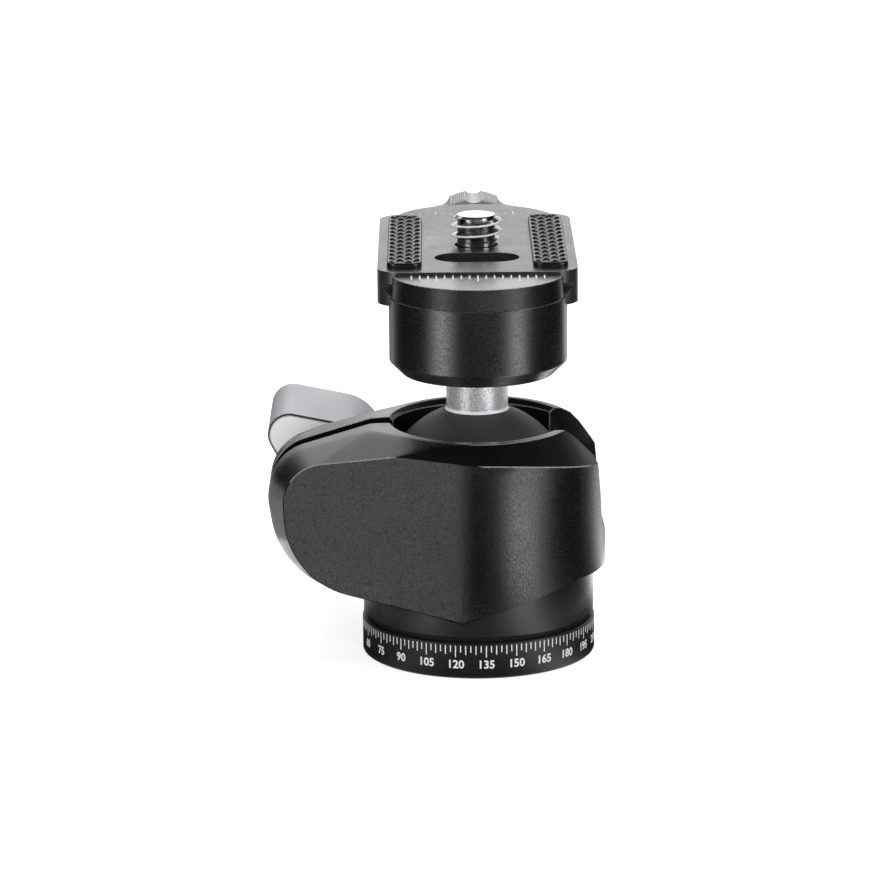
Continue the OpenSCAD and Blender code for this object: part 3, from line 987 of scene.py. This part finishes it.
@dataclass
class BallAndStem(Assembly):
    """Ball, its liner and the silver stem."""

    stem_radius: float = 3.95
    foot_z: float = 31.76
    foot_w: float = 0.18
    foot_h: float = 0.38
    foot_sunk: float = 0.15  # how deep the fillet's hidden side stands in the stem

    def build(self) -> None:
        """Builds the ball and stem."""
        # the foot fillet gets a painted highlight
        self.settle(self.foot(), "head", Palette.LEVER_FACE, "stem_silver")
        self.refine("ball", "ball", Palette.BALL_DARK, "ball_dark", 0.1)
        self.refine("ball_liner", "liner", Palette.ACETAL, "liner_acetal", 0.0)
        self.refine("stem", "head", Palette.STEM_SILVER, "stem_silver", 0.1)
        self.recolour("clamp_bolt", Palette.OXIDE)
        self.recolour("index_pin", Palette.STEEL)

    def foot(self) -> Object:
        """Hollow fillet round the stem's foot, with a painted highlight.

        At the share t of its height the radius is the stem's plus the fillet's width times one less the square
        root of 1 - (1 - t) squared, a quarter circle that flares outwards and down.

        Returns:
            The new object.
        """
        t = np.linspace(0, 1, 9)
        r = self.stem_radius + self.foot_w * (1 - np.sqrt(1 - (1 - t) ** 2))
        z = self.foot_z + t * self.foot_h
        inner = self.stem_radius - self.foot_sunk
        return revolve("stem_foot", [(inner, z[-1]), (inner, z[0]), *zip(r, z)], 96)


@dataclass
class Clamp(Assembly):
    """Quick-release clamp: body, moving jaw, their scales, pins, springs and the ribbed knob."""

    end_y: float = 17.3  # centre of a round end
    wall_from: float = 9.2
    ledge_z: float = 50.3
    jaw_top: float = 53.0
    chamfer: float = 0.07
    worn_h: float = 0.12  # how far down from the top a broken edge gets a painted highlight
    same_z: float = 0.1  # how near two heights are that count as one
    level_cos: float = 0.99  # cosine of the slope below which a face is level
    agree_cos: float = 0.97  # cosine of the angle up to which a corner takes the wall's direction
    tick_count: int = 8  # to each side of the middle one
    tick_pitch: float = 1.02
    tick_w: float = 0.18
    tick_y: float = 19.25
    tick_front: tuple[float, float] = (2.1, 3.4)
    tick_rear: tuple[float, float] = (2.1, 3.2)

    def build(self) -> None:
        """Builds the clamp."""
        self.dress_jaw("clamp_body", "head", Palette.JAW_TOP)
        # the jaw's top takes the plate's lighter finish: painted light
        self.dress_jaw("moving_jaw", "jaw", Palette.PLATE)
        self.recolour("guide_pins", Palette.STEEL)
        self.recolour("jaw_springs", Palette.STEEL)
        self.refine("knob_washer", "jaw", Palette.STEEL, "socket_steel", 0.05)
        self.refine("jaw_knob", "knob", Palette.KNOB_SILVER, "knob_silver", 0.12)
        self.recolour("jaw_screw", Palette.STEEL)
        self.recolour("jaw_clip", Palette.OXIDE)
        self.jaw_ticks("front_jaw_ticks", "head", self.tick_front, -1)
        self.jaw_ticks("rear_jaw_ticks", "jaw", self.tick_rear, 1)

    def dress_jaw(self, node: str, body: str, lit_top_look: Palette) -> None:
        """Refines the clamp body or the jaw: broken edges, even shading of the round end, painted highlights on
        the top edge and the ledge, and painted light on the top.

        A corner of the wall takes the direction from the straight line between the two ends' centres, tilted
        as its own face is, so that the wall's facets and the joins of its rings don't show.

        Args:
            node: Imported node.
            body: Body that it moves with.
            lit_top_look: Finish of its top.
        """
        obj = merged_copy(self.nodes[node], node + "_finished")
        bevel_edges(obj, self.chamfer, mark=True)
        shade_flats(obj)
        mesh = obj.data
        normal, centre = read(mesh.polygons, "normal"), read(mesh.polygons, "center") / MM
        number = read(mesh.polygons, "material_index")
        owner = np.repeat(np.arange(len(mesh.polygons)), read(mesh.polygons, "loop_total"))
        away = read(mesh.vertices, "co")[read(mesh.loops, "vertex_index"), :2] / MM
        away[:, 1] -= np.clip(away[:, 1], -self.end_y, self.end_y)
        distance = np.linalg.norm(away, axis=1)
        away /= np.maximum(distance, 1e-9)[:, None]
        tilt = normal[owner, 2]
        flat = np.sqrt(np.clip(1 - tilt**2, 0, 1))
        agrees = (normal[owner, :2] * away).sum(1) > self.agree_cos * flat
        round_wall = (distance > self.wall_from) & (np.abs(tilt) < self.level_cos) & agrees
        split = read(mesh.corner_normals, "vector")
        split[round_wall] = np.column_stack([away * flat[:, None], tilt])[round_wall]
        mesh.normals_split_custom_set(split.tolist())
        x, y, z = centre.T
        # painted highlight on the broken edges at the top
        highlight_edges = (number == 1) & (z > self.jaw_top - self.worn_h)
        outside = np.hypot(x, np.abs(y) - self.end_y) > self.wall_from
        # the ledge gets a painted highlight
        ledge = (normal[:, 2] > 0.9) & (np.abs(z - self.ledge_z) < self.same_z) & outside
        # painted light: the top gets a lighter finish than the body's black
        top = (normal[:, 2] > self.level_cos) & (z > self.jaw_top - self.same_z)
        self.settle(obj, body, Palette.SATIN_BLACK, "clamp_black", node)
        kinds = np.where(top, 3, np.where(highlight_edges, 1, np.where(ledge, 2, 0)))
        paint(obj, kinds, Palette.EDGE_WORN, Palette.EDGE_DULL, lit_top_look)

    def jaw_ticks(self, name: str, body: str, lengths: tuple[float, float], side: int) -> None:
        """Engraves ticks along a jaw's inner edge, longer at the middle and at every fifth.

        Args:
            name: Name of the piece.
            body: Body that the jaw moves with.
            lengths: Length of a short tick and of a long one.
            side: -1 for the front jaw, 1 for the rear one.
        """
        number = np.arange(-self.tick_count, self.tick_count + 1)[:, None]
        length = np.where(number % 5 == 0, lengths[1], lengths[0])
        corner = np.array([[-1, 0], [1, 0], [1, 1], [-1, 1]])[::side]
        x = number * self.tick_pitch + self.tick_w / 2 * corner[:, 0]
        y = side * (self.tick_y + length * corner[:, 1])
        foot = np.stack([x, y, np.full_like(x, self.jaw_top - SUNK)], 2)
        corners = np.concatenate([foot, foot + [0, 0, SUNK + PROUD]], 1)
        self.settle(write_boxes(name, corners), body, Palette.MARK, "clamp_black")


@dataclass
class CameraPlate(Assembly):
    """Camera plate with its scalloped rubber pads and the camera screw."""

    chamfer: float = 0.12
    # broken edges above this height get a painted highlight
    worn_from: float = 53.2
    pad_x: float = 9.05
    pad_w: float = 4.3
    pad_y: tuple[float, float] = (-16.9, 14.8)
    pad_corner: float = 1.4
    pad_foot: float = 53.1
    pad_top: float = 54.15
    pad_round: float = 0.3
    pad_step: float = 0.075
    pad_sharp: float = 50.0  # degrees; sharper edges of a pad stay sharp
    scallop_x: float = 1.075
    scallop_y: float = 2.44
    scallop_start: float = 0.55
    scallop_rise: float = 1.0
    scallop_h: float = 0.26
    scallop_front: float = 0.07  # share of a row that its step up takes
    scallop_power: float = 0.7
    rim: tuple[float, float] = (0.15, 0.45)  # from the pad's edge to where the scallops start and are full
    screw_y: float = -1.5
    thread_low: float = 53.6
    thread_top: float = 57.3
    thread_start: float = 54.0
    pitch: float = 1.27
    thread_major: float = 3.175
    thread_minor: float = 2.4
    thread_step: float = 0.03
    thread_sides: int = 180
    crest_depth: float = 0.09
    neck_r: float = 2.45
    neck_slope: float = 1.6  # growth of the run-out's radius with the height
    neck_lead: float = 0.1  # how far below the thread's start the run-out begins
    overlap: float = 0.05
    sharp: float = 24.0  # degrees; sharper edges of the screw stay sharp
    top_chamfer: float = 0.8
    chamfer_h: float = 0.6

    def build(self) -> None:
        """Builds the plate."""
        plate = merged_copy(self.nodes["camera_plate"], "camera_plate_finished")
        bevel_edges(plate, self.chamfer, mark=True)
        faces = plate.data.polygons
        # painted highlight on the broken edges of the top
        highlight_edges = (read(faces, "material_index") == 1) & (read(faces, "center")[:, 2] > self.worn_from * MM)
        shade_flats(plate)
        self.settle(plate, "plate", Palette.PLATE, "plate_grey", "camera_plate")
        paint(plate, highlight_edges, Palette.EDGE_WORN)
        self.settle(self.pad("pad_left_grip", -1), "plate", Palette.RUBBER, "pad_rubber", "pad_left")
        self.settle(self.pad("pad_right_grip", 1), "plate", Palette.RUBBER, "pad_rubber", "pad_right")
        self.refine("screw_retainer", "plate", Palette.ACETAL, "liner_acetal", 0.05)
        self.screw()

    def pad(self, name: str, side: int) -> Object:
        """Moulds one rubber pad with rows of scallops.

        The pad is a stack of loops. A loop point at the angle t of a rounded rectangle moves straight to the
        pad's middle line as the loops go inwards. The top's height falls off to the edge as a quarter circle,
        and rises over each scallop: a step up at the scallop's arched front, highest in its middle, that
        slopes down to nothing at the next row. Neighbouring columns are half a row apart.

        Args:
            name: Name of the piece.
            side: -1 for the left pad, 1 for the right one.

        Returns:
            The new object.
        """
        low, high = self.pad_y
        half_x, half_y, middle = self.pad_w / 2, (high - low) / 2, (high + low) / 2
        loop = rounded_loop(half_x, half_y, self.pad_corner, self.pad_step)
        spine = np.stack([np.zeros(len(loop)), np.clip(loop[:, 1], half_x - half_y, half_y - half_x)], 1)
        # loops lie close together over the rounded edge, then evenly, with a last one beside the spine
        depths = [np.linspace(0, 0.35, 7), np.arange(0.42, half_x, self.pad_step), [half_x - 0.02]]
        inward = np.concatenate(depths)[:, None] / half_x
        flat = loop[None] * (1 - inward[..., None]) + spine[None] * inward[..., None]
        x, y = flat[..., 0], flat[..., 1] + middle
        depth = inward * half_x
        edge = np.sqrt(np.clip(1 - (1 - np.clip(depth / self.pad_round, 0, 1)) ** 2, 0, 1))
        column = np.clip(np.floor(x / self.scallop_x), -2, 1)
        arch = 1 - (2 * (x / self.scallop_x - column) - 1) ** 2
        along = ((y - self.scallop_start - self.scallop_rise * arch) / self.scallop_y + 0.5 * (column % 2)) % 1.0
        slope = np.minimum(along / self.scallop_front, (1 - along) / (1 - self.scallop_front))
        tile = arch**self.scallop_power * slope
        inner = np.clip((depth - self.rim[0]) / (self.rim[1] - self.rim[0]), 0, 1)
        top = self.pad_top - self.pad_round * (1 - edge) - self.scallop_h * (1 - tile) * inner
        rings = np.stack([x + side * self.pad_x, y, top], 2)
        foot = rings[:1].copy()
        foot[..., 2] = self.pad_foot
        return tube_mesh(name, np.concatenate([foot, rings]), self.pad_sharp)

    def screw(self) -> None:
        """Makes the camera screw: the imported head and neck, and a shank with a real thread."""
        head = refined_copy(self.nodes["camera_screw"], "camera_screw_threaded", 0.0)
        shank = self.shank()
        plane = {"plane_co": (0, 0, self.thread_low * MM), "plane_no": (0, 0, 1)}
        with editing(head.data) as work:
            everything = work.verts[:] + work.edges[:] + work.faces[:]
            cut = bmesh.ops.bisect_plane(work, geom=everything, clear_outer=True, **plane)
            edges = [e for e in cut["geom_cut"] if isinstance(e, bmesh.types.BMEdge)]
            bmesh.ops.contextual_create(work, geom=edges)
            work.from_mesh(shank.data)
        bpy.data.objects.remove(shank)
        head.data.shade_smooth()
        head.data.set_sharp_from_angle(angle=math.radians(self.sharp))
        x, y, z = read(head.data.polygons, "center").T / MM
        # the crests get a painted highlight
        crest = (np.hypot(x, y - self.screw_y) > self.thread_major - self.crest_depth) & (z > self.thread_start)
        self.settle(head, "screw", Palette.SCREW_STEEL, "screw_steel", "camera_screw")
        paint(head, crest, Palette.SCREW_CREST)

    def shank(self) -> Object:
        """Threaded shank with a flat, chamfered top.

        The radius at the angle t and the height z is the least of three: the thread, a straight flank between
        the crest and the root by the distance to the nearest crest, whose height climbs one pitch a turn; the
        chamfer at the top; and the run-out at the neck.

        Returns:
            The new object.
        """
        z = np.arange(self.thread_low, self.thread_top, self.thread_step)
        z = np.concatenate([[self.thread_low - self.overlap], z, [self.thread_top]])
        t = np.linspace(0, 2 * np.pi, self.thread_sides, endpoint=False)
        z, t = np.meshgrid(z, t, indexing="ij")
        turn = (z - self.thread_start) / self.pitch - t / (2 * np.pi)
        away = np.abs(turn - np.round(turn)) * self.pitch
        # the crest is an eighth of the pitch wide and the root a quarter
        share = np.clip((away - self.pitch / 16) / (self.pitch * (3 / 8 - 1 / 16)), 0, 1)
        thread = self.thread_major - (self.thread_major - self.thread_minor) * share
        falling = np.clip((z - self.thread_top + self.chamfer_h) / self.chamfer_h, 0, 1)
        chamfer = self.thread_major - self.top_chamfer * falling
        runout = self.neck_r + self.neck_slope * np.maximum(z - self.thread_start + self.neck_lead, 0)
        r = np.minimum(np.minimum(thread, chamfer), runout)
        rings = np.stack([r * np.cos(t), r * np.sin(t) + self.screw_y, z], 2)
        return tube_mesh("camera_screw_shank", rings, self.sharp)


# ---------------------------------------------------------------------------------------------------
# studio
# ---------------------------------------------------------------------------------------------------


@dataclass(frozen=True)
class Reflector:
    """A ring round the object with soft bright strips in some directions.

    Attributes:
        name: Name of the card.
        near: Inner radius in metres.
        far: Outer radius in metres.
        low: Height of the inner edge in metres.
        high: Height of the outer edge in metres.
        base: Brightness between the strips.
        strips: Direction in degrees from the front towards the notch, half width in degrees, and brightness.
    """

    name: str
    near: float
    far: float
    low: float
    high: float
    base: float
    strips: tuple[Triple, ...]

    def level(self, direction: np.ndarray) -> np.ndarray:
        """Brightness by direction.

        Each strip adds its brightness times e to the minus square of the angle to its middle over its half
        width. A strip of negative brightness darkens, down to 0.

        Args:
            direction: Directions in degrees.

        Returns:
            Brightness in each of them.
        """
        total = np.full_like(direction, self.base)
        for middle, half, bright in self.strips:
            away = (direction - middle + 180.0) % 360.0 - 180.0
            total += bright * np.exp(-((away / half) ** 2))
        return np.maximum(total, 0.0)


@dataclass
class Studio:
    """Pale floor, soft lamps, dark cards for the reflections and the camera.

    Attributes:
        focal: Focal length in pixels.
        frame: Width of the frame in pixels.
        sensor: Width of the sensor in millimetres.
        distance: Distance of the camera from its aim, in millimetres.
        elevation: Angle of the camera above the horizon in degrees.
        aim: Point in the middle of the frame.
        roll: Turn of the camera about its axis in degrees, clockwise.
        floor_half: Half the width of the floor in metres.
        floor_z: Height of the floor in metres, just under the object.
        overhead: Range in X, range in Y and height of each card over the object, in metres.
        overhead_level: Brightness of these cards.
        reflectors: Rings round the object.
    """

    focal: float = 4294.97
    frame: float = 870.0
    sensor: float = 36.0
    distance: float = 551.44
    elevation: float = 13.773
    aim: Triple = (-5.433, 0.0, 28.202)
    roll: float = 0.507
    floor_half: float = 3.0
    floor_z: float = -2e-5
    overhead: tuple[tuple[float, float, float, float, float], ...] = (
        (-0.7, 0.7, -1.07, 0.3, 0.5),
        (0.2, 1.3, -1.0, 0.76, 0.51),
    )
    overhead_level: float = 0.01
    reflectors: tuple[Reflector, ...] = (
        Reflector(
            "card_ring", 0.0151, 0.034, 0.00008, 0.00008, 0.02,
            ((45.0, 16.0, 0.9), (-43.0, 14.0, 0.25), (140.0, 14.0, 1.2), (-140.0, 14.0, 0.8)),
        ),
        Reflector(
            "card_neck", 0.034, 0.05, 0.0008, 0.0008, 0.02,
            ((42.0, 14.0, 1.1), (-43.0, 14.0, 0.9), (136.0, 16.0, 1.9), (-136.0, 16.0, 1.9), (180.0, 34.0, 1.2)),
        ),
        Reflector(
            "card_inner", 0.05, 0.13, 0.0008, 0.0008, 0.0,
            ((31.0, 14.0, 2.6), (-19.0, 4.0, 0.3), (130.0, 18.0, 1.6), (-75.0, 20.0, 0.3), (-132.0, 14.0, 0.62),
             (180.0, 16.0, 0.7)),
        ),
        Reflector(
            "card_middle", 0.13, 0.37, 0.0008, 0.0008, 0.0,
            ((46.5, 11.0, 3.1), (-44.5, 12.5, 3.5), (150.0, 12.0, 1.2), (-144.0, 14.0, 0.65)),
        ),
        Reflector(
            "card_outer", 0.37, 0.9, 0.0008, 0.0008, 0.0,
            ((44.0, 20.0, 1.4), (-46.0, 16.0, 0.5), (6.0, 22.0, 1.0), (180.0, 22.0, 0.6)),
        ),
        Reflector("card_far", 0.9, 0.92, 0.0, 0.15, 0.02, ((180.0, 24.0, 0.9), (-147.0, 10.0, -0.2))),
        Reflector(
            "card_sky", 0.9, 1.0, 0.15, 0.62, 0.04,
            ((180.0, 19.0, 1.3), (180.0, 14.0, 0.4), (-147.0, 10.0, -0.2), (136.0, 12.0, 0.9)),
        ),
    )

    def build(self) -> None:
        """Builds the floor, lamps, cards and camera."""
        self.camera()
        self.floor()
        self.world()
        self.lamps()
        self.cards()

    def camera(self) -> None:
        """Places the camera on a circle round its aim."""
        data = bpy.data.cameras.new("studio_camera")
        data.sensor_width = self.sensor
        data.lens = self.focal * self.sensor / self.frame
        data.clip_start = 0.01
        e, r = math.radians(self.elevation), math.radians(self.roll)
        back = Vector((0.0, -math.cos(e), math.sin(e)))
        right, up = Vector((1.0, 0.0, 0.0)), Vector((0.0, math.sin(e), math.cos(e)))
        turned_right = right * math.cos(r) - up * math.sin(r)
        turned_up = up * math.cos(r) + right * math.sin(r)
        place = (Vector(self.aim) + back * self.distance) * MM
        cam = link("studio_camera", data)
        axes = Matrix((turned_right, turned_up, back)).transposed().to_4x4()
        cam.matrix_world = Matrix.Translation(place) @ axes
        bpy.context.scene.camera = cam

    @staticmethod
    def _tree(owner: Material | bpy.types.World) -> Tree:
        """Empties the node tree of a material or world.

        Args:
            owner: The material or world.

        Returns:
            Its node tree.
        """
        owner.use_nodes = True
        owner.node_tree.nodes.clear()
        return owner.node_tree

    @staticmethod
    def _seen(tree: Tree, strength: float) -> Socket:
        """Strength for the rays that see the studio.

        Args:
            tree: Tree of the material or world.
            strength: The strength.

        Returns:
            The strength for camera, glossy and transmission rays, and 0 for the others.
        """
        path = add_node(tree, "LightPath").outputs
        seen = calc(tree, "MAXIMUM", path["Is Camera Ray"], path["Is Glossy Ray"])
        seen = calc(tree, "MAXIMUM", seen, path["Is Transmission Ray"])
        return calc(tree, "MULTIPLY", seen, strength)

    def floor(self) -> None:
        """Lays a pale floor that looks white to the camera and in gloss, but keeps the soft shadow."""
        half, z = self.floor_half, self.floor_z
        mesh = bpy.data.meshes.new("studio_floor")
        corners = [(-half, -half, z), (half, -half, z), (half, half, z), (-half, half, z)]
        mesh.from_pydata(corners, [], [(0, 1, 2, 3)])
        obj = link("studio_floor", mesh)
        mat = bpy.data.materials.new("floor_pale")
        tree = self._tree(mat)
        matte = add_node(tree, "BsdfDiffuse", {"Color": (0.82, 0.82, 0.82, 1.0)})
        glow = add_node(tree, "Emission", {"Strength": self._seen(tree, 0.62)})
        both = add_node(tree, "AddShader", {0: matte.outputs[0], 1: glow.outputs[0]})
        add_node(tree, "OutputMaterial", {"Surface": both.outputs[0]})
        mesh.materials.append(mat)

    def world(self) -> None:
        """White backdrop all round, dimmer as a light than it looks."""
        world = bpy.data.worlds.new("studio_world")
        bpy.context.scene.world = world
        tree = self._tree(world)
        back = add_node(tree, "Background", {"Strength": calc(tree, "ADD", self._seen(tree, 0.6), 0.42)})
        add_node(tree, "OutputWorld", {"Surface": back.outputs[0]})

    def lamps(self) -> None:
        """Hangs four soft lamps: a large one overhead, one on each side in front, and a broad one in front."""
        self._lamp("lamp_top", (0.05, 0.1, 0.75), (0.7, 0.7), 3.2)
        self._lamp("lamp_left", (-0.6, -0.45, 0.5), (0.45, 0.6), 2.2)
        self._lamp("lamp_right", (0.65, -0.35, 0.45), (0.35, 0.6), 2.0)
        front = self._lamp("lamp_front", (-0.05, -0.9, 0.24), (0.9, 0.4), 3.7)
        front.visible_glossy = False

    @staticmethod
    def _lamp(name: str, place: Triple, size: tuple[float, float], power: float) -> Object:
        """Adds a rectangular lamp that looks at the ball.

        Args:
            name: Name of the lamp.
            place: Its place in metres.
            size: Its width and height in metres.
            power: Its power in watts.

        Returns:
            The lamp.
        """
        data = bpy.data.lights.new(name, "AREA")
        data.shape = "RECTANGLE"
        data.size, data.size_y = size
        data.energy = power
        obj = link(name, data)
        obj.location = place
        obj.rotation_mode = "QUATERNION"
        obj.rotation_quaternion = (Vector((0, 0, 0.03)) - Vector(place)).to_track_quat("-Z", "Y")
        return obj

    def cards(self) -> None:
        """Lays rings of soft strips round the object and hangs dark cards over it, that only gloss sees.

        Upright walls mirror the inner ring low down and the outer rings higher up, so each ring shapes the
        highlights of one part: the inner one the housing, the next the clamp's wall, the far one its top band.
        The rounded crown mirrors the cards overhead.
        """
        mat = bpy.data.materials.new("card_soft")
        tree = self._tree(mat)
        level = add_node(tree, "Attribute", attribute_name="level").outputs["Fac"]
        light = add_node(tree, "Emission", {"Strength": level})
        add_node(tree, "OutputMaterial", {"Surface": light.outputs[0]})
        for card in self.reflectors:
            self._reflector(card, mat)
        for number, (x0, x1, y0, y1, z) in enumerate(self.overhead):
            points = np.array([[x0, y0, z], [x1, y0, z], [x1, y1, z], [x0, y1, z]])
            level = np.full(4, self.overhead_level)
            self._card(f"card_overhead_{number}", points, np.array([[0, 1, 2, 3]]), level, mat)

    def _reflector(self, card: Reflector, mat: Material) -> None:
        """Makes one ring, whose brightness depends on the direction alone.

        Args:
            card: Its place and its strips.
            mat: Material that glows by the attribute level.
        """
        a = np.radians(np.arange(0, 360, 2.0))
        ring = np.stack([np.sin(a), -np.cos(a)], 1)
        near = np.column_stack([ring * card.near, np.full(len(a), card.low)])
        far = np.column_stack([ring * card.far, np.full(len(a), card.high)])
        level = np.tile(card.level(np.degrees(a)), 2)
        self._card(card.name, np.concatenate([near, far]), loop_faces(2, len(a)), level, mat)

    @staticmethod
    def _card(name: str, points: np.ndarray, faces: np.ndarray, level: np.ndarray, mat: Material) -> None:
        """Adds one card that lights nothing and shows in gloss only.

        Args:
            name: Name of the card.
            points: Its points in metres.
            faces: Its faces.
            level: Brightness at each point.
            mat: Material that glows by the attribute level.
        """
        mesh = bpy.data.meshes.new(name)
        mesh.from_pydata(points.tolist(), [], faces.tolist())
        mesh.attributes.new("level", "FLOAT", "POINT").data.foreach_set("value", level.astype(np.float32))
        mesh.materials.append(mat)
        obj = link(name, mesh)
        for ray in ("camera", "diffuse", "shadow", "transmission"):
            setattr(obj, "visible_" + ray, False)


def main() -> None:
    """Builds every sub-assembly in order, then the studio."""
    logging.basicConfig(level=logging.INFO, format="%(name)s: %(message)s")
    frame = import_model()
    bpy.context.scene.view_settings.view_transform = "Standard"
    for part in (PanningBase, SplitHousing, LockLever, BallAndStem, Clamp, CameraPlate):
        LOG.info("building %s", part.__name__)
        part(frame["nodes"]).build()
    Studio().build()


if __name__ == "__main__":
    main()
